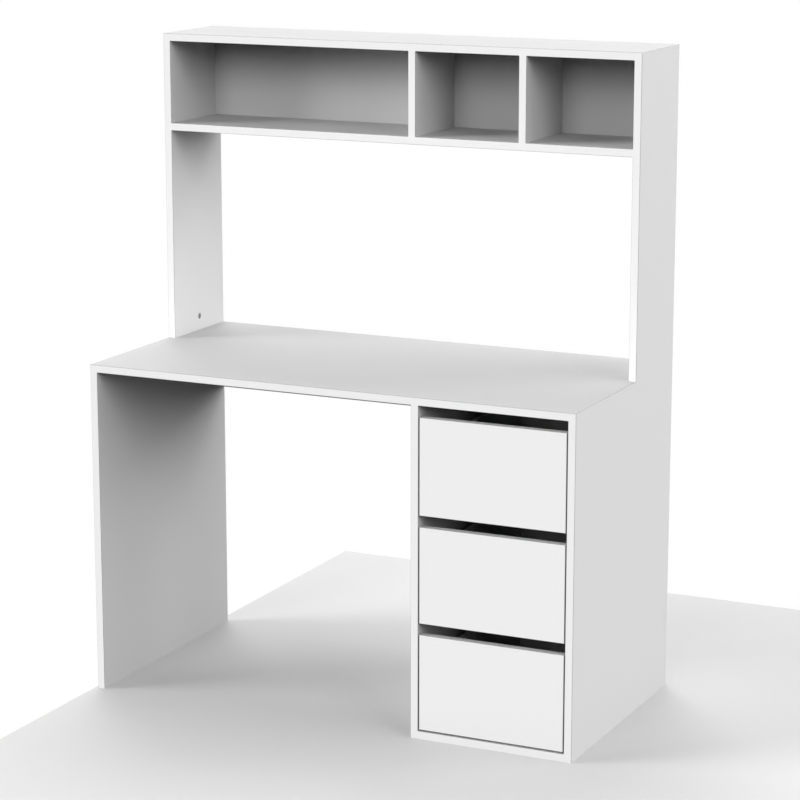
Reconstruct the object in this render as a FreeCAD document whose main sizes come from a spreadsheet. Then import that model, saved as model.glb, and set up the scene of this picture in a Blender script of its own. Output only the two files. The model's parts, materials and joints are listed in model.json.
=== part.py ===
# Student desk with hutch: a full-width desktop on a leg panel and a cabinet of three inset
# drawers, and an open hutch that stands on the rear of the desktop.
# Millimetres, +X to the right, +Y to the rear, +Z up. The origin lies on the floor, under
# the middle of the desk.

import FreeCAD, Part

import math
import os
import re

import Sketcher

Vector = FreeCAD.Vector

DRAWERS = ("lower", "middle", "upper")
BALLS_PER_ROW = 8

# ------------------------------------------------------------------ driving dimensions

SIZES = (
    ("desk_width", 1200, "overall width of the desk and of the hutch"),
    ("desk_depth", 596, "overall depth of the desk"),
    ("desk_height", 778, "height of the desktop's upper face"),
    ("total_height", 1508, "height of the hutch's upper face"),
    ("hutch_depth", 238, "depth of the hutch"),
    ("board", 18, "thickness of the carcass boards and of the drawer fronts"),
    ("cabinet_width", 386, "width of the drawer cabinet over both of its gables"),
    ("cubby_height", 193, "clear height of the hutch compartments"),
    ("small_cubby_width", 254, "clear width of each small compartment"),
    ("rail_height", 144, "height of the rear rail under the desktop"),
    ("arris", 1, "radius of the eased arrises"),
    ("back_panel", 3, "thickness of the cabinet back and of the hutch back"),
    ("back_inset", 20, "distance from a back panel to the rear edge of its boards"),
    ("groove_depth", 6, "depth of every groove that holds a thin panel"),
    ("finger_gap", 25.7, "height of the gap over each drawer front"),
    ("front_side_gap", 2.5, "gap at each side of a drawer front"),
    ("front_bottom_gap", 3.5, "gap under the lowest drawer front"),
    ("front_recess", 0.5, "setback of the drawer fronts from the cabinet's front edges"),
    ("box_board", 16, "thickness of the drawer box's sides and back"),
    ("box_height", 150, "height of the drawer box"),
    ("box_lift", 14, "height of the box's lower edge over that of its front"),
    ("box_rear_clearance", 44, "free depth between the drawer box and the cabinet back"),
    ("bottom_panel", 3, "thickness of the drawer bottom"),
    ("bottom_lift", 12, "height of the drawer bottom over the box's lower edge"),
    ("slide_width", 12.7, "space that a slide fills between gable and drawer box"),
    ("slide_height", 35, "height of the cabinet rail"),
    ("slide_sheet", 1.2, "sheet thickness of both rails"),
    ("slide_setback", 5, "distance from the ends of a slide to the ends of the box"),
    ("slide_overlap", 125, "length of slide still engaged with the drawer fully out"),
    ("outer_flange", 10.3, "reach of the cabinet rail's flanges from the gable"),
    ("outer_lip", 1, "height of the lips on the cabinet rail's flanges"),
    ("inner_flange", 8.5, "reach of the drawer rail's flanges from the drawer box"),
    ("ball", 4, "diameter of the slide balls"),
    ("ball_offset", 6.8, "distance from the gable to the centres of the balls"),
    ("running_gap", 0.2, "clearance between a ball and what it runs on"),
    ("cage_length", 240, "length of a ball cage"),
    ("cage_sheet", 0.6, "sheet thickness of a ball cage"),
    ("cage_offset", 3, "distance from the gable to the web of the cage"),
    ("cage_reach", 6.4, "reach of the cage's flanges over its own web"),
    ("cage_end_gap", 7.5, "distance from the cage to the rail's end at full extension"),
    ("ball_end", 12, "distance from the ends of a cage to its first and last ball"),
    ("fit", 0.1, "radial clearance of a fixed piece in its hole or groove"),
    ("end_gap", 0.5, "free depth past the end of a fixed piece in its hole or groove"),
    ("dowel", 8, "diameter of the wooden dowels"),
    ("dowel_length", 30, "length of the wooden dowels"),
    ("dowel_in_face", 11, "part of a dowel that sits in the face of a board"),
    ("dowel_chamfer", 1, "chamfer on the ends of a dowel"),
    ("cam", 15, "diameter of the cam locks"),
    ("cam_edge", 34, "distance from a cam's axis to the edge that it pulls tight"),
    ("cam_floor", 4.5, "depth of a cam past the axis of its bolt"),
    ("cam_recess", 0.4, "depth of a cam's head below the face of the board"),
    ("cam_slot_length", 10, "span of the cross recess in a cam"),
    ("cam_slot_width", 2, "width of the cross recess in a cam"),
    ("cam_slot_depth", 2.5, "depth of the cross recess in a cam"),
    ("bolt_thread", 6, "thread diameter of a cam bolt"),
    ("bolt_bite", 10.5, "length of a cam bolt's thread"),
    ("bolt_shank", 5, "shank diameter of a cam bolt"),
    ("bolt_head", 6.6, "head diameter of a cam bolt"),
    ("bolt_head_length", 3, "length of a cam bolt's head"),
    ("bolt_play", 0.4, "clearance round a cam bolt's head"),
    ("connector", 7, "shaft diameter of a connecting screw"),
    ("connector_length", 50, "length of a connecting screw"),
    ("connector_head", 10, "head diameter of a connecting screw"),
    ("connector_head_height", 3, "head height of a connecting screw"),
    ("connector_slot", 5, "span of the cross recess in a connecting screw"),
    ("screw", 3.5, "shaft diameter of a rail screw"),
    ("screw_bite", 10, "length of a rail screw in the board"),
    ("screw_head", 7, "head diameter of a rail screw"),
    ("screw_head_height", 1.3, "head height of a rail screw"),
    ("screw_slot", 4, "span of the cross recess in a rail screw"),
    ("screw_slot_width", 0.9, "width of the cross recess in a screw"),
    ("screw_slot_depth", 0.8, "depth of the cross recess in a screw"),
    ("cam_inset", 180, "distance from the desk's front and rear to a carcass cam"),
    ("dowel_inset", 60, "distance from the desk's front and rear to a carcass dowel"),
    ("hutch_dowel_spread", 80, "distance from a hutch cam to the dowels beside it"),
    ("divider_inset", 50, "distance from a divider's front and rear to its fasteners"),
    ("rail_dowel_spread", 48, "distance from the rear rail's cam to its dowels"),
    ("box_spread", 40, "distance from mid-height of a drawer box to its fasteners"),
    ("screw_inset", 60, "distance from the ends of a slide to its end screws"),
)

doc = FreeCAD.newDocument("StudentDesk")
sheet = doc.addObject("Spreadsheet::Sheet", "Sizes")
for row, (alias, size, meaning) in enumerate(SIZES, start=1):
    sheet.set(f"A{row}", alias)
    sheet.set(f"B{row}", str(size))
    sheet.set(f"C{row}", meaning)
    sheet.setAlias(f"B{row}", alias)
doc.recompute()

# ------------------------------------------------------------------ derived sizes and places

# Each name stands for a formula of the sizes above and of names in this table.
FORMULAS = {
    "left": "0 - desk_width / 2",
    "right": "desk_width / 2",
    "front": "0 - desk_depth / 2",
    "rear": "desk_depth / 2",
    "desk_under": "desk_height - board",
    "leg_inner": "left + board",
    "cabinet_left": "right - cabinet_width",
    "bay_left": "cabinet_left + board",
    "bay_right": "right - board",
    "back_front": "rear - back_inset - back_panel",
    "tongue": "groove_depth - end_gap",
    "hutch_front": "rear - hutch_depth",
    "hutch_middle": "rear - hutch_depth / 2",
    "hutch_ceiling": "total_height - board",
    "shelf_top": "hutch_ceiling - cubby_height",
    "shelf_under": "shelf_top - board",
    "right_divider": "bay_right - small_cubby_width - board",
    "left_divider": "right_divider - small_cubby_width - board",
    "front_height": f"(desk_under - board - front_bottom_gap) / {len(DRAWERS)} - finger_gap",
    "front_face": "front + front_recess",
    "front_back": "front_face + board",
    "box_left": "bay_left + slide_width",
    "box_right": "bay_right - slide_width",
    "box_rear": "back_front - box_rear_clearance",
    "slide_front": "front_back + slide_setback",
    "slide_length": "box_rear - front_back - 2 * slide_setback",
    "slide_race": "slide_height / 2 - slide_sheet",
    "slide_edge": "slide_height / 2",
    "inner_edge": "slide_race - ball - 2 * running_gap",
    "ball_height": "slide_race - running_gap - ball / 2",
    "cage_edge": "ball_height + cage_sheet / 2",
    "cage_front": "slide_front + (slide_length - slide_overlap) / 2 + cage_end_gap",
    "dowel_in_edge": "dowel_length - dowel_in_face",
    "bolt_reach": "cam_edge + bolt_head_length / 2",
}

NAME = re.compile("[a-z][a-z_]*")


def expression(formula):
    """Write a formula of named sizes as an expression on the cells of the sheet."""

    def cell(match):
        name = match.group()
        if name in FORMULAS:
            return "(" + expression(FORMULAS[name]) + ")"
        return "Sizes." + name

    return NAME.sub(cell, str(formula))


def bind(item, path, formula):
    """Tie one property of an object to the sheet."""
    item.setExpression(path, expression(formula))


def amount(formula):
    """The present value of a formula."""
    return float(sheet.evalExpression(expression(formula)))


# ------------------------------------------------------------------ sketches and features

# For each axis: the origin plane square to it, the two axes of a sketch on that plane,
# and whether the plane's normal points up or down the axis.
PLANES = {
    "X": ("YZ_Plane", "Y", "Z", 1),
    "Y": ("XZ_Plane", "X", "Z", -1),
    "Z": ("XY_Plane", "X", "Y", 1),
}
UNIT = {"X": Vector(1, 0, 0), "Y": Vector(0, 1, 0), "Z": Vector(0, 0, 1)}
START, END, CENTRE = 1, 2, 3


def sketch_on(body, axis, level):
    """An empty sketch in the body, square to the axis and at the level along it."""
    role, _, _, normal = PLANES[axis]
    plane = next(item for item in body.Origin.OriginFeatures if item.Role == role)
    sketch = body.newObject("Sketcher::SketchObject", "outline")
    sketch.AttachmentSupport = [(plane, "")]
    sketch.MapMode = "FlatFace"
    sketch.Visibility = False
    bind(sketch, "AttachmentOffset.Base.z", f"{normal} * ({level})")
    return sketch


def hold(sketch, kind, line, point, formula, name):
    """Fix one coordinate of a point of the sketch, measured from the sketch's origin."""
    constraint = Sketcher.Constraint(kind, -1, START, line, point, amount(formula))
    sketch.renameConstraint(sketch.addConstraint(constraint), name)
    bind(sketch, "Constraints." + name, formula)


def draw_outline(sketch, corners, hollow=None):
    """Draw a closed outline through the corners.

    Its last side is straight, or an arc of less than half a turn about the hollow.
    """
    points = [Vector(amount(across), amount(up), 0) for across, up in corners]
    last = len(points) - 1
    for index in range(last):
        sketch.addGeometry(Part.LineSegment(points[index], points[index + 1]), False)
    closing_ends = (START, END)
    if hollow is None:
        sketch.addGeometry(Part.LineSegment(points[last], points[0]), False)
    else:
        centre = Vector(amount(hollow[0]), amount(hollow[1]), 0)
        circle = Part.Circle(centre, UNIT["Z"], (points[0] - centre).Length)
        begin = circle.parameter(points[last])
        turn = (circle.parameter(points[0]) - begin) % (2 * math.pi)
        if turn > math.pi:
            closing_ends = (END, START)
            begin = begin + turn
            turn = 2 * math.pi - turn
        sketch.addGeometry(Part.ArcOfCircle(circle, begin, begin + turn), False)
        hold(sketch, "DistanceX", last, CENTRE, hollow[0], "centre")
    for index in range(1, last):
        sketch.addConstraint(Sketcher.Constraint("Coincident", index - 1, END, index, START))
    sketch.addConstraint(Sketcher.Constraint("Coincident", last - 1, END, last, closing_ends[0]))
    sketch.addConstraint(Sketcher.Constraint("Coincident", last, closing_ends[1], 0, START))
    for index, (across, up) in enumerate(corners):
        line, point = (index, START) if index < last else (last - 1, END)
        hold(sketch, "DistanceX", line, point, across, f"across_{index}")
        hold(sketch, "DistanceY", line, point, up, f"up_{index}")


def draw_circles(sketch, centres, diameter):
    """Draw one circle round each centre."""
    for index, (across, up) in enumerate(centres):
        centre = Vector(amount(across), amount(up), 0)
        circle = Part.Circle(centre, UNIT["Z"], amount(diameter) / 2)
        curve = sketch.addGeometry(circle, False)
        hold(sketch, "DistanceX", curve, CENTRE, across, f"across_{index}")
        hold(sketch, "DistanceY", curve, CENTRE, up, f"up_{index}")
        width = sketch.addConstraint(Sketcher.Constraint("Diameter", curve, amount(diameter)))
        sketch.renameConstraint(width, f"diameter_{index}")
        bind(sketch, f"Constraints.diameter_{index}", diameter)


def rectangle(across, up):
    """The four corners between two pairs of formulas, low and high."""
    return [(across[0], up[0]), (across[1], up[0]), (across[1], up[1]), (across[0], up[1])]


def cross(span, arm):
    """The twelve corners of a cross of four equal arms about the sketch's origin."""
    tip = f"{span} / 2"
    side = f"{arm} / 2"
    corner = ((tip, side), (side, side), (side, tip))
    quarters = ((1, 1, False), (-1, 1, True), (-1, -1, False), (1, -1, True))
    corners = []
    for across_sign, up_sign, backwards in quarters:
        for across, up in reversed(corner) if backwards else corner:
            corners.append((f"{across_sign} * ({across})", f"{up_sign} * ({up})"))
    return corners


def pad(body, sketch, length, axis):
    """Raise the sketch into a solid, up the axis."""
    feature = body.newObject("PartDesign::Pad", "pad")
    feature.Profile = sketch
    feature.Reversed = PLANES[axis][3] < 0
    bind(feature, "Length", length)


def pocket(body, sketch, depth, axis, sense):
    """Cut the sketch into the solid, up the axis if the sense is 1 and down it if -1."""
    feature = body.newObject("PartDesign::Pocket", "pocket")
    feature.Profile = sketch
    feature.Reversed = PLANES[axis][3] == sense
    bind(feature, "Length", depth)
    return feature


def bore(body, axis, sense, level, centres, diameter, depth):
    """Cut round holes of one size into the body, from the level along the axis."""
    sketch = sketch_on(body, axis, level)
    draw_circles(sketch, centres, diameter)
    return pocket(body, sketch, depth, axis, sense)


def turned(name, profile):
    """A body turned about its own Z axis, from a profile of (radius, height) corners."""
    body = doc.addObject("PartDesign::Body", name)
    sketch = sketch_on(body, "Y", 0)
    draw_outline(sketch, profile)
    revolution = body.newObject("PartDesign::Revolution", "revolution")
    revolution.Profile = sketch
    revolution.ReferenceAxis = (sketch, ["V_Axis"])
    return body


def recess(body, sense, level, span, arm, depth):
    """Cut a cross recess for a screwdriver, square to the body's Z axis."""
    sketch = sketch_on(body, "Z", level)
    draw_outline(sketch, cross(span, arm))
    pocket(body, sketch, depth, "Z", sense)


# ------------------------------------------------------------------ boards

parts = []


class Board:
    """A flat board between two places on each axis, with its body's origin at its low corner."""

    def __init__(self, name, across, x, y, z):
        """Name the board, say which axis its thickness runs along, and give its limits."""
        self.across = across
        self.low = {"X": x[0], "Y": y[0], "Z": z[0]}
        self.high = {"X": x[1], "Y": y[1], "Z": z[1]}
        self.body = doc.addObject("PartDesign::Body", name)
        self.body.Label = name
        for axis, place in self.low.items():
            bind(self.body, "Placement.Base." + axis.lower(), place)
        _, first, second, _ = PLANES[across]
        sketch = sketch_on(self.body, across, 0)
        draw_outline(sketch, rectangle(("0", self.size(first)), ("0", self.size(second))))
        pad(self.body, sketch, self.size(across), across)
        parts.append(self.body)

    def size(self, axis):
        """The board's extent along an axis."""
        return f"({self.high[axis]}) - ({self.low[axis]})"

    def local(self, axis, place):
        """A place on an axis, measured from the board's low corner."""
        return f"({place}) - ({self.low[axis]})"

    def middle(self, axis):
        """The place halfway through the board along an axis."""
        return f"(({self.low[axis]}) + ({self.high[axis]})) / 2"

    def side(self, axis, sense):
        """The place of the board's face that looks up the axis, or down it if sense is -1."""
        return self.high[axis] if sense > 0 else self.low[axis]

    def drill(self, axis, sense, level, places, diameter, depth):
        """Drill round holes of one size from the level; each place maps axis to formula."""
        _, first, second, _ = PLANES[axis]
        centres = []
        for place in places:
            centres.append((self.local(first, place[first]), self.local(second, place[second])))
        bore(self.body, axis, sense, self.local(axis, level), centres, diameter, depth)

    def groove(self, axis, sense, limits):
        """Mill a groove into the face that the axis and sense name, between two pairs of limits."""
        _, first, second, _ = PLANES[axis]
        sides = []
        for name in (first, second):
            sides.append([self.local(name, place) for place in limits[name]])
        sketch = sketch_on(self.body, axis, self.local(axis, self.side(axis, sense)))
        draw_outline(sketch, rectangle(*sides))
        pocket(self.body, sketch, "groove_depth", axis, -sense)

    def ease(self, run, corner, stretch=None):
        """Round one arris that runs along an axis, all of it or the free stretch of it.

        The corner gives, for each of the other two axes, 1 for the board's high side or -1.
        """
        start, end = stretch or (self.low[run], self.high[run])
        _, first, second, _ = PLANES[run]
        place = {}
        inward = {}
        for name in (first, second):
            place[name] = self.local(name, self.side(name, corner[name]))
            inward[name] = f"({place[name]}) - {corner[name]} * arris"
        corners = [
            (inward[first], place[second]),
            (place[first], place[second]),
            (place[first], inward[second]),
        ]
        sketch = sketch_on(self.body, run, self.local(run, start))
        draw_outline(sketch, corners, hollow=(inward[first], inward[second]))
        pocket(self.body, sketch, f"({end}) - ({start})", run, 1)


# ------------------------------------------------------------------ fasteners


def make_dowel():
    """A fluted dowel's plain body, chamfered at both ends; its origin is at the joint."""
    low = "0 - dowel_in_face"
    radius = "dowel / 2"
    narrow = "dowel / 2 - dowel_chamfer"
    return turned("dowel_pattern", [
        ("0", low),
        (narrow, low),
        (radius, "dowel_chamfer - dowel_in_face"),
        (radius, "dowel_in_edge - dowel_chamfer"),
        (narrow, "dowel_in_edge"),
        ("0", "dowel_in_edge"),
    ])


def make_bolt():
    """A cam bolt: thread below the joint, shank above it, and the head that a cam grips."""
    neck = "bolt_reach - bolt_head_length"
    return turned("bolt_pattern", [
        ("0", "0 - bolt_bite"),
        ("bolt_thread / 2", "0 - bolt_bite"),
        ("bolt_thread / 2", "0"),
        ("bolt_shank / 2", "0"),
        ("bolt_shank / 2", neck),
        ("bolt_head / 2", neck),
        ("bolt_head / 2", "bolt_reach"),
        ("0", "bolt_reach"),
    ])


def make_cam(thickness):
    """A cam for boards of the thickness: its face looks up Z and its mouth looks down X."""
    height = f"{thickness} / 2 + cam_floor - cam_recess"
    body = turned(f"cam_pattern_{thickness}", [
        ("0", f"0 - ({height})"),
        ("cam / 2", f"0 - ({height})"),
        ("cam / 2", "0"),
        ("0", "0"),
    ])
    recess(body, -1, 0, "cam_slot_length", "cam_slot_width", "cam_slot_depth")
    axis_height = f"cam_recess - {thickness} / 2"
    mouth = "bolt_head + 2 * bolt_play"
    depth = "cam / 2 + bolt_head_length / 2 + bolt_play"
    bore(body, "X", 1, "0 - cam / 2", [("0", axis_height)], mouth, depth)
    return body


def make_connector():
    """A connecting screw that points up Z, with the outer face of its head at the origin."""
    tip = "connector_length - connector / 2"
    body = turned("connector_pattern", [
        ("0", "0"),
        ("connector_head / 2", "0"),
        ("connector_head / 2", "connector_head_height"),
        ("connector / 2", "connector_head_height"),
        ("connector / 2", tip),
        ("connector / 4", "connector_length"),
        ("0", "connector_length"),
    ])
    recess(body, 1, 0, "connector_slot", "screw_slot_width", "connector_head_height / 2")
    return body


def make_rail_screw():
    """A rail screw that points up Z, with the inner face of its head at the origin."""
    end = "slide_sheet + screw_bite"
    head = "0 - screw_head_height"
    body = turned("screw_pattern", [
        ("0", head),
        ("screw_head / 2", head),
        ("screw_head / 2", "0"),
        ("screw / 2", "0"),
        ("screw / 2", f"{end} - screw"),
        ("0", end),
    ])
    recess(body, 1, head, "screw_slot", "screw_slot_width", "screw_slot_depth")
    return body


DOWEL = make_dowel()
BOLT = make_bolt()
CARCASS_CAM = make_cam("board")
BOX_CAM = make_cam("box_board")
CONNECTOR = make_connector()
RAIL_SCREW = make_rail_screw()


def place(pattern, group, spot, rotation):
    """Set one more copy of a pattern at a spot, and add it to its group."""
    link = doc.addObject("App::Link", "copy")
    link.LinkedObject = pattern
    link.Placement.Rotation = rotation
    for axis, formula in spot.items():
        bind(link, "Placement.Base." + axis.lower(), formula)
    group.append(link)


def pointing(direction):
    """The rotation that points a turned pattern along a direction."""
    return FreeCAD.Rotation(UNIT["Z"], direction)


def gather(name, group):
    """Make one sub-part of all the separate copies in a group."""
    compound = doc.addObject("Part::Compound", name)
    compound.Label = name
    compound.Links = group
    parts.append(compound)


class Joint:
    """A butt joint: the edge of one board meets the face of another, up or down an axis."""

    def __init__(self, edge, face, axis, sense, run):
        """Sense is 1 where the edge board lies up the axis; fasteners are spaced along run."""
        self.edge = edge
        self.face = face
        self.axis = axis
        self.sense = sense
        self.run = run
        self.level = edge.side(axis, -sense)
        self.direction = UNIT[axis] * sense

    def spots(self, places):
        """The points of the joint at the places along its run, in the middle of the edge."""
        across = self.edge.across
        middle = self.edge.middle(across)
        return [{self.axis: self.level, self.run: at, across: middle} for at in places]

    def dowels(self, places, group):
        """Drill both boards for dowels and set the dowels."""
        spots = self.spots(places)
        hole = "dowel + 2 * fit"
        self.face.drill(self.axis, -self.sense, self.level, spots, hole, "dowel_in_face + end_gap")
        self.edge.drill(self.axis, self.sense, self.level, spots, hole, "dowel_in_edge + end_gap")
        for spot in spots:
            place(DOWEL, group, spot, pointing(self.direction))

    def cams(self, places, facing, cam, bolt_group, cam_group):
        """Drill both boards for cam locks, and set the bolts and the cams.

        Facing is 1 where the cams show in the edge board's high face, and -1 in its low one.
        """
        spots = self.spots(places)
        across = self.edge.across
        bolt_hole = "bolt_thread + 2 * fit"
        head_hole = "bolt_head + 2 * bolt_play"
        self.face.drill(self.axis, -self.sense, self.level, spots, bolt_hole, "bolt_bite + end_gap")
        self.edge.drill(self.axis, self.sense, self.level, spots, head_hole, "cam_edge")
        surface = self.edge.side(across, facing)
        centre = f"({self.level}) + {self.sense} * cam_edge"
        cam_spots = [dict(spot, **{self.axis: centre}) for spot in spots]
        depth = f"({self.edge.size(across)}) / 2 + cam_floor"
        self.edge.drill(across, -facing, surface, cam_spots, "cam + 2 * fit", depth)
        outward = UNIT[across] * facing
        rotation = FreeCAD.Rotation(self.direction, outward.cross(self.direction), outward, "ZXY")
        for spot in spots:
            place(BOLT, bolt_group, spot, pointing(self.direction))
        for spot in cam_spots:
            head = dict(spot, **{across: f"({surface}) - {facing} * cam_recess"})
            place(cam, cam_group, head, rotation)

    def connectors(self, places, group):
        """Drill through the face board into the edge, and set the connecting screws."""
        spots = self.spots(places)
        outside = self.face.side(self.axis, -self.sense)
        thickness = self.face.size(self.axis)
        heads = "connector_head + 2 * fit"
        shaft = "connector + 2 * fit"
        bite = f"connector_length - ({thickness}) + end_gap"
        self.face.drill(self.axis, self.sense, outside, spots, heads, "connector_head_height")
        self.face.drill(self.axis, self.sense, outside, spots, shaft, thickness)
        self.edge.drill(self.axis, self.sense, self.level, spots, shaft, bite)
        for spot in spots:
            place(CONNECTOR, group, dict(spot, **{self.axis: outside}), pointing(self.direction))


cam_locks = []
cam_bolts = []
dowels = []
connecting_screws = []
rail_screws = []

# ------------------------------------------------------------------ desk carcass

SHEET_GROOVE = ("back_front - fit", "back_front + back_panel + fit")

desktop = Board("desktop", "Z", ("left", "right"), ("front", "rear"), ("desk_under", "desk_height"))
left_leg = Board("left_leg_panel", "X", ("left", "leg_inner"), ("front", "rear"), ("0", "desk_under"))
inner_gable = Board(
    "inner_gable", "X", ("cabinet_left", "bay_left"), ("front", "rear"), ("0", "desk_under"))
right_gable = Board("right_gable", "X", ("bay_right", "right"), ("front", "rear"), ("0", "desk_under"))
base = Board("cabinet_base", "Z", ("bay_left", "bay_right"), ("front", "rear"), ("0", "board"))
cabinet_back = Board(
    "cabinet_back", "Y", ("bay_left - tongue", "bay_right + tongue"),
    ("back_front", "back_front + back_panel"), ("board - tongue", "desk_under - end_gap"))
rear_rail = Board(
    "rear_rail", "Y", ("leg_inner", "cabinet_left"), ("rear - board", "rear"),
    ("desk_under - rail_height", "desk_under"))


def ease_desk():
    """Round the free arrises of the desk; where boards meet flush their arrises stay square."""
    desktop.ease("X", {"Y": -1, "Z": 1})
    desktop.ease("X", {"Y": -1, "Z": -1}, ("leg_inner", "cabinet_left"))
    desktop.ease("X", {"Y": -1, "Z": -1}, ("bay_left", "bay_right"))
    for panel, side in ((left_leg, -1), (right_gable, 1)):
        panel.ease("Z", {"X": side, "Y": -1})
        desktop.ease("Z", {"X": side, "Y": -1})
        desktop.ease("Y", {"X": side, "Z": 1}, ("front", "hutch_front"))
    left_leg.ease("Z", {"X": 1, "Y": -1})
    inner_gable.ease("Z", {"X": -1, "Y": -1})
    inner_gable.ease("Z", {"X": 1, "Y": -1}, ("board", "desk_under"))
    right_gable.ease("Z", {"X": -1, "Y": -1}, ("board", "desk_under"))
    base.ease("X", {"Y": -1, "Z": 1})
    for side in (-1, 1):
        rear_rail.ease("X", {"Y": side, "Z": -1})


def join_desk():
    """Hold the desktop on its panels, and the base and the rear rail between theirs."""
    cam_places = ("front + cam_inset", "rear - cam_inset")
    dowel_places = ("front + dowel_inset", "rear - dowel_inset")
    joints = [
        (Joint(left_leg, desktop, "Z", -1, "Y"), 1),
        (Joint(inner_gable, desktop, "Z", -1, "Y"), 1),
        (Joint(right_gable, desktop, "Z", -1, "Y"), -1),
        (Joint(base, inner_gable, "X", 1, "Y"), 1),
        (Joint(base, right_gable, "X", -1, "Y"), 1),
    ]
    for joint, facing in joints:
        joint.dowels(dowel_places, dowels)
        joint.cams(cam_places, facing, CARCASS_CAM, cam_bolts, cam_locks)
    centre = rear_rail.middle("Z")
    for face, sense in ((left_leg, 1), (inner_gable, -1)):
        joint = Joint(rear_rail, face, "X", sense, "Z")
        joint.dowels((f"{centre} - rail_dowel_spread", f"{centre} + rail_dowel_spread"), dowels)
        joint.cams((centre,), -1, CARCASS_CAM, cam_bolts, cam_locks)


def groove_cabinet():
    """Mill the grooves that hold the cabinet back."""
    height = ("board - groove_depth", "desk_under")
    inner_gable.groove("X", 1, {"Y": SHEET_GROOVE, "Z": height})
    right_gable.groove("X", -1, {"Y": SHEET_GROOVE, "Z": height})
    base.groove("Z", 1, {"X": ("bay_left", "bay_right"), "Y": SHEET_GROOVE})


ease_desk()
join_desk()
groove_cabinet()

# ------------------------------------------------------------------ hutch

HUTCH_HEIGHT = ("desk_height", "total_height")
HUTCH_DEPTH = ("hutch_front", "rear")
DIVIDER_HEIGHT = ("shelf_top", "hutch_ceiling")

hutch_left = Board("hutch_left_side", "X", ("left", "leg_inner"), HUTCH_DEPTH, HUTCH_HEIGHT)
hutch_right = Board("hutch_right_side", "X", ("bay_right", "right"), HUTCH_DEPTH, HUTCH_HEIGHT)
hutch_top = Board(
    "hutch_top", "Z", ("leg_inner", "bay_right"), HUTCH_DEPTH, ("hutch_ceiling", "total_height"))
hutch_shelf = Board(
    "hutch_shelf", "Z", ("leg_inner", "bay_right"), HUTCH_DEPTH, ("shelf_under", "shelf_top"))
left_divider = Board(
    "hutch_left_divider", "X", ("left_divider", "left_divider + board"),
    ("hutch_front", "back_front"), DIVIDER_HEIGHT)
right_divider = Board(
    "hutch_right_divider", "X", ("right_divider", "right_divider + board"),
    ("hutch_front", "back_front"), DIVIDER_HEIGHT)
hutch_back = Board(
    "hutch_back", "Y", ("leg_inner - tongue", "bay_right + tongue"),
    ("back_front", "back_front + back_panel"), ("shelf_top - tongue", "hutch_ceiling + tongue"))


def ease_hutch():
    """Round the free arrises of the hutch; its front frame is flush where boards meet."""
    for side, outer in ((hutch_left, -1), (hutch_right, 1)):
        side.ease("Z", {"X": outer, "Y": -1})
        side.ease("Y", {"X": outer, "Z": 1})
        side.ease("X", {"Y": -1, "Z": 1})
        side.ease("Z", {"X": -outer, "Y": -1}, ("desk_height", "shelf_under"))
        side.ease("Z", {"X": -outer, "Y": -1}, DIVIDER_HEIGHT)
    hutch_top.ease("X", {"Y": -1, "Z": 1})
    hutch_shelf.ease("X", {"Y": -1, "Z": -1})
    compartments = (
        ("leg_inner", "left_divider"),
        ("left_divider + board", "right_divider"),
        ("right_divider + board", "bay_right"),
    )
    for stretch in compartments:
        hutch_top.ease("X", {"Y": -1, "Z": -1}, stretch)
        hutch_shelf.ease("X", {"Y": -1, "Z": 1}, stretch)
    for divider in (left_divider, right_divider):
        divider.ease("Z", {"X": -1, "Y": -1})
        divider.ease("Z", {"X": 1, "Y": -1})


def join_hutch():
    """Stand the sides on the desktop, and hold the top, shelf and dividers between them."""
    dowel_places = ("hutch_middle - hutch_dowel_spread", "hutch_middle + hutch_dowel_spread")
    joints = [
        (Joint(hutch_left, desktop, "Z", 1, "Y"), 1),
        (Joint(hutch_right, desktop, "Z", 1, "Y"), -1),
    ]
    for level_board in (hutch_top, hutch_shelf):
        joints.append((Joint(level_board, hutch_left, "X", 1, "Y"), -1))
        joints.append((Joint(level_board, hutch_right, "X", -1, "Y"), -1))
    for joint, facing in joints:
        joint.dowels(dowel_places, dowels)
        joint.cams(("hutch_middle",), facing, CARCASS_CAM, cam_bolts, cam_locks)
    divider_places = ("hutch_front + divider_inset", "back_front - divider_inset")
    for divider in (left_divider, right_divider):
        Joint(divider, hutch_top, "Z", -1, "Y").dowels(divider_places, dowels)
        Joint(divider, hutch_shelf, "Z", 1, "Y").connectors(divider_places, connecting_screws)


def groove_hutch():
    """Mill the grooves that hold the hutch back, stopped behind the shelf and the top."""
    height = ("shelf_top - groove_depth", "hutch_ceiling + groove_depth")
    hutch_left.groove("X", 1, {"Y": SHEET_GROOVE, "Z": height})
    hutch_right.groove("X", -1, {"Y": SHEET_GROOVE, "Z": height})
    hutch_shelf.groove("Z", 1, {"X": ("leg_inner", "bay_right"), "Y": SHEET_GROOVE})
    hutch_top.groove("Z", -1, {"X": ("leg_inner", "bay_right"), "Y": SHEET_GROOVE})


ease_hutch()
join_hutch()
groove_hutch()

# ------------------------------------------------------------------ slides


def channel(name, corners, length):
    """A bent sheet of constant section that runs along Y."""
    body = doc.addObject("PartDesign::Body", name)
    sketch = sketch_on(body, "Y", 0)
    draw_outline(sketch, corners)
    pad(body, sketch, length, "Y")
    return body


def mirrored_up(corners):
    """A section's corners, followed by their mirror images above the middle."""
    return corners + [(across, f"0 - ({up})") for across, up in reversed(corners)]


def cabinet_rail_section():
    """The cabinet rail: a channel that opens away from the gable, with lips on its flanges."""
    lip = "slide_race - outer_lip"
    inside = "outer_flange - slide_sheet"
    return mirrored_up([
        ("0", "0 - slide_edge"),
        ("outer_flange", "0 - slide_edge"),
        ("outer_flange", f"0 - ({lip})"),
        (inside, f"0 - ({lip})"),
        (inside, "0 - slide_race"),
        ("slide_sheet", "0 - slide_race"),
    ])


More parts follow.
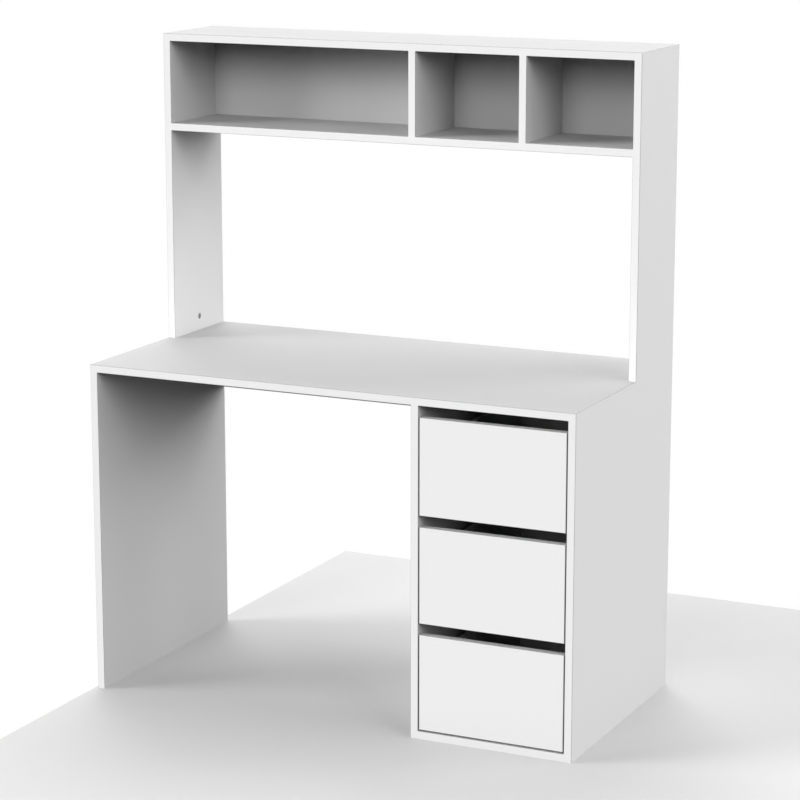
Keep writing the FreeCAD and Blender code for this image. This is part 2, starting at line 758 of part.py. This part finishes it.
def drawer_rail_section():
    """The drawer rail: a narrower channel that opens towards the gable."""
    tip = "slide_width - inner_flange"
    inside = "inner_edge - slide_sheet"
    return mirrored_up([
        ("slide_width", "0 - inner_edge"),
        (tip, "0 - inner_edge"),
        (tip, f"0 - ({inside})"),
        ("slide_width - slide_sheet", f"0 - ({inside})"),
    ])


def cage_section():
    """The ball cage: a thin channel whose flanges hold the two rows of balls."""
    tip = "cage_offset + cage_reach"
    inside = "cage_edge - cage_sheet"
    return mirrored_up([
        ("cage_offset", "0 - cage_edge"),
        (tip, "0 - cage_edge"),
        (tip, f"0 - ({inside})"),
        ("cage_offset + cage_sheet", f"0 - ({inside})"),
    ])


def ball_places():
    """The distances from a cage's end to its balls."""
    pitch = f"(cage_length - 2 * ball_end) / {BALLS_PER_ROW - 1}"
    return [f"ball_end + {index} * ({pitch})" for index in range(BALLS_PER_ROW)]


def make_cage():
    """A cage with a row of ball holes through both of its flanges."""
    body = channel("cage_pattern", cage_section(), "cage_length")
    hole = "ball + 2 * running_gap"
    first = [("ball_offset", "ball_end")]
    holes = bore(body, "Z", 1, "0 - cage_edge", first, hole, "2 * cage_edge")
    row = body.newObject("PartDesign::LinearPattern", "ball_row")
    row.Originals = [holes]
    row.Direction = (holes.Profile[0], ["V_Axis"])
    row.Occurrences = BALLS_PER_ROW
    bind(row, "Length", "cage_length - 2 * ball_end")
    body.Tip = row
    return body


def make_ball():
    """One steel ball."""
    sphere = doc.addObject("Part::Sphere", "ball_pattern")
    bind(sphere, "Radius", "ball / 2")
    return sphere


CAGE = make_cage()
BALL = make_ball()
SCREW_PLACES = ("screw_inset", "slide_length / 2", "slide_length - screw_inset")
STRAIGHT = FreeCAD.Rotation()
TURNED = FreeCAD.Rotation(UNIT["Z"], 180)

# The left slide stands at the inner gable and looks to the right; the right slide is the
# same slide turned round, at the right gable.
HANDS = (("left", "bay_left", 1), ("right", "bay_right", -1))


def stand_rail(rail, wall, hand, height):
    """Put a rail at its gable, with its front end behind the drawer front."""
    start = "slide_front" if hand > 0 else "slide_front + slide_length"
    rail.Placement.Rotation = STRAIGHT if hand > 0 else TURNED
    bind(rail, "Placement.Base.x", wall)
    bind(rail, "Placement.Base.y", start)
    bind(rail, "Placement.Base.z", height)
    rail.Label = rail.Name
    parts.append(rail)


def add_rail(name, section, web, wall, hand, height):
    """Make one rail, with screw holes through the web that starts at the place given."""
    rail = channel(name, section, "slide_length")
    centres = [(at, "0") for at in SCREW_PLACES]
    bore(rail, "X", 1, web, centres, "screw + 2 * fit", "slide_sheet")
    stand_rail(rail, wall, hand, height)


def screw_rail(board, face, height, direction, group):
    """Screw a rail to the face of a board; direction is the way that the screws point."""
    spots = [{"X": face, "Y": f"slide_front + {at}", "Z": height} for at in SCREW_PLACES]
    board.drill("X", direction, face, spots, "screw + 2 * fit", "screw_bite + end_gap")
    for spot in spots:
        head = dict(spot, X=f"({face}) - {direction} * slide_sheet")
        place(RAIL_SCREW, group, head, pointing(UNIT["X"] * direction))


def add_cage(wall, hand, height, group):
    """Set one cage with its balls between the two rails of a slide."""
    start = "cage_front" if hand > 0 else "cage_front + cage_length"
    rotation = STRAIGHT if hand > 0 else TURNED
    place(CAGE, group, {"X": wall, "Y": start, "Z": height}, rotation)
    across = f"({wall}) + {hand} * ball_offset"
    for at in ball_places():
        for row in (-1, 1):
            spot = {"X": across, "Y": f"cage_front + {at}", "Z": f"({height}) + {row} * ball_height"}
            place(BALL, group, spot, STRAIGHT)


# ------------------------------------------------------------------ drawers


class Drawer:
    """One drawer: its front, its box, and the slides that carry it."""

    def __init__(self, name, rank):
        """Rank counts the drawers from the floor up."""
        self.name = name
        self.bottom = f"board + front_bottom_gap + {rank} * (front_height + finger_gap)"
        self.box_low = f"{self.bottom} + box_lift"
        self.box_high = f"{self.box_low} + box_height"
        self.mid = f"{self.box_low} + box_height / 2"
        self.cam_fittings = []
        self.dowels = []
        self.screws = []
        self.make_boards()
        self.ease_boards()
        self.groove_boards()
        self.join_boards()
        self.make_slides()
        gather(f"{name}_drawer_cam_fittings", self.cam_fittings)
        gather(f"{name}_drawer_dowels", self.dowels)
        gather(f"{name}_drawer_screws", self.screws)

    def make_boards(self):
        """The front, and the sides, back and bottom of the box behind it."""
        prefix = f"{self.name}_drawer_"
        height = (self.box_low, self.box_high)
        depth = ("front_back", "box_rear")
        inner_left = "box_left + box_board"
        inner_right = "box_right - box_board"
        self.front = Board(
            prefix + "front", "Y", ("bay_left + front_side_gap", "bay_right - front_side_gap"),
            ("front_face", "front_back"), (self.bottom, f"{self.bottom} + front_height"))
        self.left = Board(prefix + "left_side", "X", ("box_left", inner_left), depth, height)
        self.right = Board(prefix + "right_side", "X", (inner_right, "box_right"), depth, height)
        self.back = Board(
            prefix + "back", "Y", (inner_left, inner_right), ("box_rear - box_board", "box_rear"), height)
        lowest = f"{self.box_low} + bottom_lift + fit"
        Board(
            prefix + "bottom", "Z", (f"{inner_left} - tongue", f"{inner_right} + tongue"),
            ("front_back - tongue", "box_rear - box_board + tongue"),
            (lowest, f"{lowest} + bottom_panel"))

    def ease_boards(self):
        """Round the arrises of the front's face and grip, and the top of the box."""
        for side in (-1, 1):
            self.front.ease("X", {"Y": -1, "Z": side})
            self.front.ease("Z", {"X": side, "Y": -1})
            self.left.ease("Y", {"X": side, "Z": 1})
            self.right.ease("Y", {"X": side, "Z": 1})
            self.back.ease("X", {"Y": side, "Z": 1})
        self.front.ease("X", {"Y": 1, "Z": 1})

    def groove_boards(self):
        """Mill the groove that holds the bottom on all four sides."""
        band = (
            f"{self.box_low} + bottom_lift",
            f"{self.box_low} + bottom_lift + bottom_panel + 2 * fit",
        )
        length = ("front_back", "box_rear - box_board + groove_depth")
        width = ("box_left + box_board - groove_depth", "box_right - box_board + groove_depth")
        self.left.groove("X", 1, {"Y": length, "Z": band})
        self.right.groove("X", -1, {"Y": length, "Z": band})
        self.front.groove("Y", 1, {"X": width, "Z": band})
        self.back.groove("Y", -1, {"X": (self.back.low["X"], self.back.high["X"]), "Z": band})

    def join_boards(self):
        """Pull the sides to the front with cams, and screw them to the back."""
        spread = (f"{self.mid} - box_spread", f"{self.mid} + box_spread")
        for side, hand in ((self.left, 1), (self.right, -1)):
            joint = Joint(side, self.front, "Y", 1, "Z")
            joint.dowels(spread, self.dowels)
            joint.cams((self.mid,), hand, BOX_CAM, self.cam_fittings, self.cam_fittings)
            Joint(self.back, side, "X", hand, "Z").connectors(spread, self.screws)

    def make_slides(self):
        """Hang the box between its two slides."""
        cages = []
        outer_web = "slide_width - slide_sheet"
        gables = {"left": inner_gable, "right": right_gable}
        box_sides = {"left": (self.left, "box_left"), "right": (self.right, "box_right")}
        for side, wall, hand in HANDS:
            prefix = f"{self.name}_{side}_"
            add_rail(prefix + "cabinet_rail", cabinet_rail_section(), 0, wall, hand, self.mid)
            add_rail(prefix + "drawer_rail", drawer_rail_section(), outer_web, wall, hand, self.mid)
            screw_rail(gables[side], wall, self.mid, -hand, rail_screws)
            box_side, face = box_sides[side]
            screw_rail(box_side, face, self.mid, hand, self.screws)
            add_cage(wall, hand, self.mid, cages)
        gather(f"{self.name}_drawer_ball_cages", cages)


for rank, name in enumerate(DRAWERS):
    Drawer(name, rank)

gather("cam_locks", cam_locks)
gather("cam_bolts", cam_bolts)
gather("dowels", dowels)
gather("connecting_screws", connecting_screws)
gather("cabinet_rail_screws", rail_screws)

# ------------------------------------------------------------------ checks and export


def check_document():
    """Stop if any feature failed, or any pocket cut nothing."""
    for item in doc.Objects:
        if "Invalid" in item.State or "Error" in item.State:
            raise RuntimeError(f"{item.Name} failed: {item.State}")
        if item.TypeId == "PartDesign::Pocket":
            if item.Shape.Volume >= item.BaseFeature.Shape.Volume:
                raise RuntimeError(f"{item.Name} cuts nothing")
    for part in parts:
        if part.Shape.isNull() or not part.Shape.isValid():
            raise RuntimeError(f"{part.Label} has no valid shape")


doc.recompute()
check_document()
os.makedirs("parts", exist_ok=True)
for part in parts:
    part.Shape.exportStep(f"parts/{part.Label}.step")
print(f"{len(parts)} sub-parts written")
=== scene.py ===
import json
import math

import bpy
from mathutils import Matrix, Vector


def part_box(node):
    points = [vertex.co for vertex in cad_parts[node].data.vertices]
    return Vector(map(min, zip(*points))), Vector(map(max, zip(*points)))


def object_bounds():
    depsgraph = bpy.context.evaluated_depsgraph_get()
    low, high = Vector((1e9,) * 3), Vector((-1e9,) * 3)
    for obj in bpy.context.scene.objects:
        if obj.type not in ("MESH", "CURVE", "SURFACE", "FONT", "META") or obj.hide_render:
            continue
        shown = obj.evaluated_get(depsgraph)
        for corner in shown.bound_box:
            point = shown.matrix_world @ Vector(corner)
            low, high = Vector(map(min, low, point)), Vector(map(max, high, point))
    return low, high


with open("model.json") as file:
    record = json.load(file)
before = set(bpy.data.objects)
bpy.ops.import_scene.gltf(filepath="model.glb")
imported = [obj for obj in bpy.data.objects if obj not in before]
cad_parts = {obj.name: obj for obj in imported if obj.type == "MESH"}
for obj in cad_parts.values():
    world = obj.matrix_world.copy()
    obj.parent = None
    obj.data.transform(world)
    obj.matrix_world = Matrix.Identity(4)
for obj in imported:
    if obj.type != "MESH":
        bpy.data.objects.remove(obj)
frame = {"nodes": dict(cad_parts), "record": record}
cad_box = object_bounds()

MM = 0.001

# The photograph's view, worked out from the straight edges of the boards: degrees round from the front and
# degrees up, metres from the point that the camera aims at, and millimetres for its sensor and its lens.
VIEW_AZIMUTH = 25.457
VIEW_ELEVATION = 12.445
VIEW_DISTANCE = 6.2042
VIEW_AIM = Vector((0.04632, 0.0, 0.69618))
SENSOR_WIDTH = 36.0
LENS = 121.378

# The floor is a finite sheet. Its left and rear edges show in the view, so far past the desk's own.
FLOOR_PAST_LEFT = 7 * MM
FLOOR_PAST_REAR = 720 * MM
# Its front and right edges lie outside the view, so far from the middle.
FLOOR_REACH = 2.6

# Whites, as shares of the light that they throw back.
FACE_WHITE = 0.64
# The white for faces turned to the front is painted light: the same melamine, painted whiter where it faces
# the front.
FRONT_PAINTED_LIGHT_WHITE = 0.98
# The arris white is painted shade: a darker grey painted along the rounded edges of the boards.
ARRIS_PAINTED_SHADE_WHITE = 0.40
PANEL_WHITE = 0.64
FLOOR_WHITE = 0.71
# The share by which a white is duller where it is dullest; the floor strays by that much to both sides.
CLOUD_SHADE = 0.005
FIBRE_SHADE = 0.015
FLOOR_SHADE = 0.005

# The dull to bright ends of each bare material's own range of colour.
CORE_COLOURS = ((0.18, 0.10, 0.05, 1.0), (0.62, 0.46, 0.29, 1.0))
FIBRE_COLOURS = ((0.20, 0.12, 0.07, 1.0), (0.36, 0.24, 0.15, 1.0))
BEECH_COLOURS = ((0.58, 0.40, 0.25, 1.0), (0.80, 0.64, 0.46, 1.0))
PLATED_COLOURS = ((0.50, 0.51, 0.53, 1.0), (0.66, 0.67, 0.68, 1.0))
BALL_COLOURS = ((0.72, 0.72, 0.73, 1.0), (0.80, 0.80, 0.80, 1.0))
ZINC_COLOURS = ((0.19, 0.19, 0.19, 1.0), (0.27, 0.27, 0.27, 1.0))

# The smooth to rough ends of each finish.
BOARD_ROUGHNESS = (0.42, 0.52)
PANEL_ROUGHNESS = (0.38, 0.50)
PLATED_ROUGHNESS = (0.28, 0.42)
BALL_ROUGHNESS = (0.08, 0.12)
ZINC_ROUGHNESS = (0.42, 0.58)
BEECH_ROUGHNESS = 0.60
FLOOR_ROUGHNESS = 0.90
# How much rougher the core is than the skin over it, and a cage than the balls in it.
CORE_ROUGHENING = 0.40
CAGE_ROUGHENING = 0.25
# How strongly the whites mirror, where 0.5 is the shader's usual amount.
BOARD_GLOSS = 0.02
FLOOR_GLOSS = 0.0

# How fine each pattern is, in repeats per metre.
CORE_CHIPS = 900.0
CORE_FINES = 2500.0
BOARD_CLOUDS = 3.0
BOARD_PEARL = 1800.0
PANEL_FIBRES = 1400.0
PLATED_FLAKES = 220.0
PLATED_STREAKS = 4000.0
BALL_GRAIN = 2200.0
ZINC_GRAIN = 1500.0
ZINC_PITS = 5000.0
BEECH_GRAIN = 500.0
BEECH_FLECKS = 3500.0
FLOOR_GRAIN = 40.0
# A drawn-out pattern repeats less often along its length, by this share along each axis.
FIBRE_DRAW = (1.0, 1.0, 0.25)
STREAK_DRAW = (1.0, 0.015, 1.0)
FLECK_DRAW = (1.0, 1.0, 0.2)
# The share of the fines in the core's tone and of the streaks in the plating's, and how much a fleck takes
# off the beech's.
FINES_SHARE = 0.3
STREAK_SHARE = 0.7
FLECK_SHADE = 0.4

# How deep the relief of each finish is.
BOARD_RELIEF = 0.02 * MM
PANEL_RELIEF = 0.03 * MM
PLATED_RELIEF = 0.01 * MM
BALL_RELIEF = 0.005 * MM
ZINC_RELIEF = 0.02 * MM
BEECH_RELIEF = 0.03 * MM

# The limits between which one finish gives way to another. A board's skin gives way to its core with depth
# below the board's own box, because a hole's wall lies deeper than the rounded arrises reach.
SKIN_DEPTHS = (0.36 * MM, 0.45 * MM)
# An arris gives way to a flat face, and a ball to its cage, as the largest part of the normal nears 1.
ARRIS_FLATNESS = (0.97, 0.995)
BALL_FLATNESS = (0.985, 0.999)
# A face counts as turned towards an axis as the normal's part along that axis grows.
TURNED = (0.4, 0.6)
# Pits and flecks are the peaks of their noise.
PIT_PEAKS = (0.62, 0.72)
FLECK_PEAKS = (0.58, 0.68)
# Most of a noise lies between these limits.
NOISE_RANGE = (0.3, 0.7)

# Soft lamps: how far round from the front and how far up each one is, in degrees, and its share of white.
# They come from a fit to the photograph's tones, rounded to 0.05, and the low rear lamp was set by trial.
LAMPS = {
    "front_lamp": (0, 20, 0.30),
    "front_right_lamp": (60, 20, 0.35),
    "right_lamp": (90, 20, 0.35),
    "rear_right_lamp": (120, 20, 0.35),
    "low_rear_right_lamp": (150, 8, 0.25),
    "low_rear_lamp": (180, 8, 0.45),
    "high_rear_left_lamp": (210, 50, 0.35),
    "high_left_lamp": (240, 70, 0.20),
    "front_left_lamp": (300, 20, 0.55),
    "low_front_left_lamp": (300, 8, 0.30),
}
LAMP_SPREAD = math.radians(30)
# A sun of this strength lights a white face that it meets squarely to plain white.
WHITE_SUN = math.pi
# Light passes once from board to board, as the photograph shows.
DIFFUSE_BOUNCES = 1


class Graph:
    """Adds nodes to a material or a world and joins them; an input's value is a socket or plain number(s)."""

    def __init__(self, owner):
        owner.use_nodes = True
        self.owner = owner
        self.tree = owner.node_tree
        self.tree.nodes.clear()

    def node(self, kind, inputs=None, **settings):
        node = self.tree.nodes.new(kind)
        for key, value in settings.items():
            setattr(node, key, value)
        for key, value in (inputs or {}).items():
            self.feed(node.inputs[key], value)
        return node

    def feed(self, socket, value):
        if isinstance(value, bpy.types.NodeSocket):
            self.tree.links.new(value, socket)
        else:
            socket.default_value = value

    def place(self):
        """The point's place in the desk's frame at rest, so that a pattern moves along with its piece."""
        return self.node("ShaderNodeTexCoord").outputs["Object"]

    def normal(self):
        """The normal in the desk's frame at rest."""
        return self.node("ShaderNodeTexCoord").outputs["Normal"]

    def math(self, operation, first, second=0.0, clamp=False):
        node = self.node("ShaderNodeMath", {0: first, 1: second}, operation=operation, use_clamp=clamp)
        return node.outputs[0]

    def vector(self, operation, first, second=(0.0, 0.0, 0.0)):
        return self.node("ShaderNodeVectorMath", {0: first, 1: second}, operation=operation).outputs[0]

    def part(self, vector, axis):
        return self.node("ShaderNodeSeparateXYZ", {0: vector}).outputs[axis]

    def extreme(self, operation, vector):
        """The largest or the smallest of a vector's parts, by MAXIMUM or MINIMUM."""
        parts = self.node("ShaderNodeSeparateXYZ", {0: vector}).outputs
        return self.math(operation, self.math(operation, parts[0], parts[1]), parts[2])

    def flatness(self):
        """1 where the surface squarely faces along an axis, and less where it is rounded or slanted."""
        return self.extreme("MAXIMUM", self.vector("ABSOLUTE", self.normal()))

    def more(self, value, amount, where):
        """The value, raised by up to that amount as where goes from 0 to 1."""
        return self.math("ADD", value, self.math("MULTIPLY", where, amount))

    def blend(self, first, second, share):
        """The mean of two values, in which the second counts for that share."""
        return self.more(self.math("MULTIPLY", first, 1.0 - share), share, second)

    def ramp(self, value, limits, ends=(0.0, 1.0)):
        """A smooth step from the first end, at the first limit of the value, to the second end."""
        inputs = {"Value": value, "From Min": limits[0], "From Max": limits[1],
                  "To Min": ends[0], "To Max": ends[1]}
        return self.node("ShaderNodeMapRange", inputs, interpolation_type="SMOOTHSTEP").outputs["Result"]

    def mix(self, share, first, second):
        """A colour that goes from first to second as share goes from 0 to 1."""
        node = self.node("ShaderNodeMix", data_type="RGBA")
        colours = [socket for socket in node.inputs if socket.type == "RGBA"]
        self.feed(node.inputs[0], share)
        self.feed(colours[0], first)
        self.feed(colours[1], second)
        return [socket for socket in node.outputs if socket.type == "RGBA"][0]

    def noise(self, place, per_metre, detail=2.0, roughness=0.5):
        inputs = {"Vector": place, "Scale": per_metre, "Detail": detail, "Roughness": roughness}
        return self.node("ShaderNodeTexNoise", inputs).outputs["Fac"]

    def cells(self, place, per_metre):
        """A value for each of the cells that fill the place."""
        colour = self.node("ShaderNodeTexVoronoi", {"Vector": place, "Scale": per_metre}).outputs["Color"]
        return self.node("ShaderNodeSeparateColor", {0: colour}).outputs[0]

    def bump(self, height, depth):
        return self.node("ShaderNodeBump", {"Height": height, "Distance": depth}).outputs["Normal"]

    def surface(self, colour, roughness, normal=None, **settings):
        """Ends the material in a Principled shader; settings are plain values for its other sockets."""
        shader = self.node("ShaderNodeBsdfPrincipled", {"Base Color": colour, "Roughness": roughness})
        for key, value in settings.items():
            shader.inputs[key.replace("_", " ")].default_value = value
        if normal is not None:
            self.feed(shader.inputs["Normal"], normal)
        self.node("ShaderNodeOutputMaterial", {"Surface": shader.outputs[0]})
        return self.owner


def material_graph(name):
    return Graph(bpy.data.materials.new(name))


def dress(node, material):
    """Gives a CAD node its finish through its material slots."""
    slots = frame["nodes"][node].data.materials
    slots.clear()
    slots.append(material)


def grey(share):
    return (share, share, share, 1.0)


def uneven_white(graph, pattern, white, shade):
    """A white that is duller by that share where the pattern is lowest."""
    return graph.mix(pattern, grey(white * (1.0 - shade)), grey(white))


def chipboard(graph, place):
    """The raw core, seen only inside holes and grooves: pressed chips of several browns."""
    chips = graph.cells(place, CORE_CHIPS)
    fines = graph.noise(place, CORE_FINES, detail=3.0)
    return graph.mix(graph.blend(chips, fines, FINES_SHARE), *CORE_COLOURS)


def shows_broad_face(node):
    """Whether the board turns a broad face of plain melamine to the front, with no edging on it."""
    return node == "rear_rail" or node.endswith("_drawer_back")


def board_skin_and_painted_light(graph, place, front_painted_light_white):
    """Melamine, painted whiter where the board turns to the front as painted light, and darkened on the
    arrises as painted shade.
    """
    cloud = graph.noise(place, BOARD_CLOUDS)
    face = uneven_white(graph, cloud, FACE_WHITE, CLOUD_SHADE)
    front = uneven_white(graph, cloud, front_painted_light_white, CLOUD_SHADE)
    # Painted light: faces turned to the front take the whiter tone.
    painted_front_light_mask = graph.math("MULTIPLY", graph.part(graph.normal(), "Y"), -1.0)
    skin = graph.mix(graph.ramp(painted_front_light_mask, TURNED), face, front)
    # Painted shade: the rounded arrises are painted a darker grey.
    arris = graph.ramp(graph.flatness(), ARRIS_FLATNESS, (1.0, 0.0))
    return graph.mix(arris, skin, grey(ARRIS_PAINTED_SHADE_WHITE))


def white_board(node):
    """Melamine-faced chipboard: a fine pearl texture, painted shade on the arrises and raw core in the holes
    and grooves.

    What the board turns to the front, its edging strip or the face of a drawer front, is painted whiter:
    painted light that stands for the stronger light on the front.
    """
    low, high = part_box(node)
    graph = material_graph("white_board_" + node)
    place = graph.place()
    above_low = graph.vector("SUBTRACT", place, low)
    below_high = graph.vector("SUBTRACT", high, place)
    depth = graph.extreme("MINIMUM", graph.vector("MINIMUM", above_low, below_high))
    inside = graph.ramp(depth, SKIN_DEPTHS)
    # Boards that show a broad face to the front keep the plain white; all others get the painted front light.
    skin = board_skin_and_painted_light(graph, place, FACE_WHITE if shows_broad_face(node) else FRONT_PAINTED_LIGHT_WHITE)
    colour = graph.mix(inside, skin, chipboard(graph, place))
    pearl = graph.noise(place, BOARD_PEARL, detail=3.0, roughness=0.6)
    roughness = graph.more(graph.ramp(pearl, NOISE_RANGE, BOARD_ROUGHNESS), CORE_ROUGHENING, inside)
    bump = graph.bump(pearl, BOARD_RELIEF)
    dress(node, graph.surface(colour, roughness, bump, Specular_IOR_Level=BOARD_GLOSS))


def white_panel(node):
    """Thin fibreboard: white lacquer over faint fibres on both faces, and raw brown edges in the grooves."""
    low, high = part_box(node)
    extents = [top - bottom for bottom, top in zip(low, high)]
    thin_axis = "XYZ"[extents.index(min(extents))]
    graph = material_graph("white_panel_" + node)
    drawn = graph.vector("MULTIPLY", graph.place(), FIBRE_DRAW)
    fibres = graph.noise(drawn, PANEL_FIBRES, detail=4.0, roughness=0.65)
    lacquer = uneven_white(graph, fibres, PANEL_WHITE, FIBRE_SHADE)
    facing = graph.math("ABSOLUTE", graph.part(graph.normal(), thin_axis))
    colour = graph.mix(graph.ramp(facing, TURNED), graph.mix(fibres, *FIBRE_COLOURS), lacquer)
    roughness = graph.ramp(fibres, NOISE_RANGE, PANEL_ROUGHNESS)
    bump = graph.bump(fibres, PANEL_RELIEF)
    dress(node, graph.surface(colour, roughness, bump, Specular_IOR_Level=BOARD_GLOSS))


def rail_steel():
    """Zinc-plated sheet: streaks drawn along its length, over the faint flakes of the plating."""
    graph = material_graph("rail_steel")
    place = graph.place()
    streaks = graph.noise(graph.vector("MULTIPLY", place, STREAK_DRAW), PLATED_STREAKS, detail=3.0)
    flakes = graph.cells(place, PLATED_FLAKES)
    colour = graph.mix(graph.blend(flakes, streaks, STREAK_SHARE), *PLATED_COLOURS)
    roughness = graph.ramp(streaks, NOISE_RANGE, PLATED_ROUGHNESS)
    return graph.surface(colour, roughness, graph.bump(streaks, PLATED_RELIEF), Metallic=1.0)


def ball_steel():
    """Bright balls, told by their curved surface, in a cage of plated sheet."""
    graph = material_graph("ball_steel")
    grain = graph.noise(graph.place(), BALL_GRAIN, detail=3.0)
    flat = graph.ramp(graph.flatness(), BALL_FLATNESS)
    colour = graph.mix(flat, graph.mix(grain, *BALL_COLOURS), graph.mix(grain, *PLATED_COLOURS))
    roughness = graph.more(graph.ramp(grain, NOISE_RANGE, BALL_ROUGHNESS), CAGE_ROUGHENING, flat)
    return graph.surface(colour, roughness, graph.bump(grain, BALL_RELIEF), Metallic=1.0)


def zinc():
    """Dull die-cast zinc with the fine pitting that a tumbled casting has."""
    graph = material_graph("zinc")
    place = graph.place()
    grain = graph.noise(place, ZINC_GRAIN, detail=4.0, roughness=0.6)
    unpitted = graph.ramp(graph.noise(place, ZINC_PITS), PIT_PEAKS, (1.0, 0.0))
    roughness = graph.ramp(grain, NOISE_RANGE, ZINC_ROUGHNESS)
    bump = graph.bump(graph.math("ADD", grain, unpitted), ZINC_RELIEF)
    return graph.surface(graph.mix(grain, *ZINC_COLOURS), roughness, bump, Metallic=1.0)


def beech():
    """Pale beech with the short darker flecks of its rays."""
    graph = material_graph("beech")
    place = graph.place()
    grain = graph.noise(place, BEECH_GRAIN, detail=4.0, roughness=0.6)
    rays = graph.noise(graph.vector("MULTIPLY", place, FLECK_DRAW), BEECH_FLECKS)
    fleck = graph.math("MULTIPLY", graph.ramp(rays, FLECK_PEAKS), FLECK_SHADE)
    brightness = graph.math("SUBTRACT", grain, fleck, clamp=True)
    colour = graph.mix(brightness, *BEECH_COLOURS)
    return graph.surface(colour, BEECH_ROUGHNESS, graph.bump(grain, BEECH_RELIEF))


def dress_nodes():
    shared = {"rail_steel": rail_steel(), "ball_steel": ball_steel(), "zinc": zinc(), "beech": beech()}
    fitted = {"white_board": white_board, "white_panel": white_panel}
    for part in frame["record"]["subparts"]:
        node, slot = part["node"], part["material_slot"]
        if slot in fitted:
            fitted[slot](node)
        else:
            dress(node, shared[slot])


def add_object(name, data):
    thing = bpy.data.objects.new(name, data)
    bpy.context.scene.collection.objects.link(thing)
    return thing


def floor_material():
    """Plain matt white with a faint grain."""
    graph = material_graph("floor")
    grain = graph.noise(graph.place(), FLOOR_GRAIN, detail=3.0)
    dull = grey(FLOOR_WHITE * (1.0 - FLOOR_SHADE))
    bright = grey(FLOOR_WHITE * (1.0 + FLOOR_SHADE))
    return graph.surface(graph.mix(grain, dull, bright), FLOOR_ROUGHNESS, Specular_IOR_Level=FLOOR_GLOSS)


def make_floor():
    low, high = cad_box
    left = low[0] - FLOOR_PAST_LEFT
    rear = high[1] + FLOOR_PAST_REAR
    corners = [(left, -FLOOR_REACH, 0.0), (FLOOR_REACH, -FLOOR_REACH, 0.0),
               (FLOOR_REACH, rear, 0.0), (left, rear, 0.0)]
    mesh = bpy.data.meshes.new("floor")
    mesh.from_pydata(corners, [], [(0, 1, 2, 3)])
    mesh.materials.append(floor_material())
    floor = add_object("floor", mesh)
    # The photograph shows no light that the floor throws back onto the boards.
    floor.visible_diffuse = False


def towards(azimuth, elevation):
    """The direction that lies so many degrees round from the front and so many up."""
    azimuth, elevation = math.radians(azimuth), math.radians(elevation)
    flat = math.cos(elevation)
    return Vector((math.sin(azimuth) * flat, -math.cos(azimuth) * flat, math.sin(elevation)))


def look_from(thing, direction):
    """Turns a camera or a lamp so that its back, its own +Z, points in that direction."""
    thing.rotation_euler = direction.to_track_quat("Z", "Y").to_euler()


def make_camera():
    data = bpy.data.cameras.new("camera")
    data.sensor_width = SENSOR_WIDTH
    data.lens = LENS
    camera = add_object("camera", data)
    direction = towards(VIEW_AZIMUTH, VIEW_ELEVATION)
    camera.location = VIEW_AIM + direction * VIEW_DISTANCE
    look_from(camera, direction)
    bpy.context.scene.camera = camera


def make_lamps():
    for name, (azimuth, elevation, share) in LAMPS.items():
        data = bpy.data.lights.new(name, "SUN")
        data.energy = WHITE_SUN * share
        data.angle = LAMP_SPREAD
        look_from(add_object(name, data), towards(azimuth, elevation))
    bpy.context.scene.cycles.diffuse_bounces = DIFFUSE_BOUNCES


def make_world():
    """A white backdrop that the camera sees, directly or in metal, and that sheds no light of its own."""
    world = bpy.data.worlds.new("studio")
    bpy.context.scene.world = world
    graph = Graph(world)
    rays = graph.node("ShaderNodeLightPath").outputs
    shown = rays["Is Camera Ray"]
    for kind in ("Is Glossy Ray", "Is Transmission Ray"):
        shown = graph.math("MAXIMUM", shown, rays[kind])
    white = graph.node("ShaderNodeBackground", {"Color": grey(1.0), "Strength": shown})
    graph.node("ShaderNodeOutputWorld", {"Surface": white.outputs[0]})


dress_nodes()
make_floor()
make_camera()
make_lamps()
make_world()
bpy.context.scene.view_settings.view_transform = "Standard"
